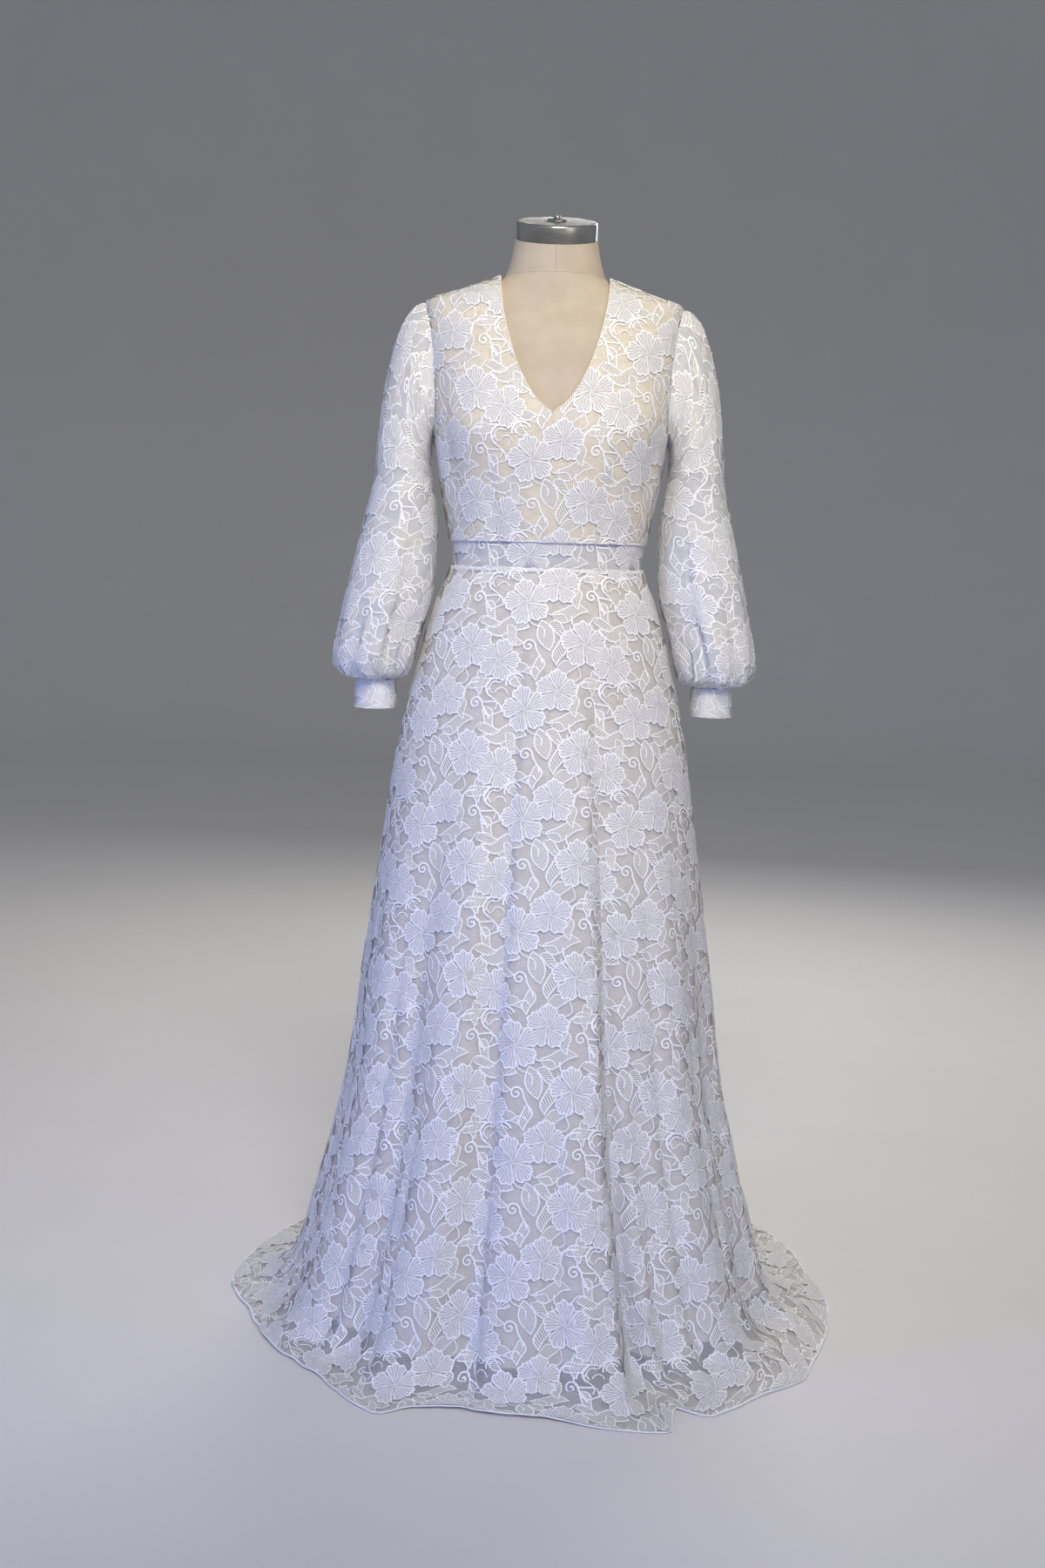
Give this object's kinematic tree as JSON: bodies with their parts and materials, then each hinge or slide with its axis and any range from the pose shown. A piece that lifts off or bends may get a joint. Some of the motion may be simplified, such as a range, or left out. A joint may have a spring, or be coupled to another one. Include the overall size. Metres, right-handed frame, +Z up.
{
  "type": "long lace wedding dress on a limbless dress form with a stand",
  "caption": "Floor-length A-line lace wedding dress with a V neck, sheer waist strip and gathered bishop sleeves, worn on a limbless dress form.",
  "frame": {"origin": "on the floor, at the centre of the underside of the stand's round foot", "axes": "+Z up, the dress faces -Y, +X is the wearer's left"},
  "size_m": [0.8888, 1.0732, 1.5722],
  "materials": {
    "bodice_lace": "ivory floral corded lace mounted on champagne lining",
    "lace": "ivory floral corded lace on a fine net",
    "lining": "champagne satin lining",
    "cuff_lace": "dense white lace",
    "form_cloth": "plain beige cotton cover",
    "chrome": "polished",
    "stand_metal": "satin grey paint"
  },
  "bodies": {
    "root": {"bodice_front": "bodice_lace", "bodice_back_left": "bodice_lace", "bodice_back_right": "bodice_lace", "waist_band_front": "lace", "waist_band_back_left": "lace", "waist_band_back_right": "lace", "skirt_front": "lace", "skirt_back_left": "lace", "skirt_back_right": "lace", "lining_front": "lining", "lining_back_left": "lining", "lining_back_right": "lining", "sleeve_left": "lace", "sleeve_right": "lace", "cuff_left": "cuff_lace", "cuff_right": "cuff_lace", "form_torso": "form_cloth", "neck_cap": "chrome", "stand_pole": "stand_metal", "stand_base": "stand_metal"}
  },
  "joints": []
}
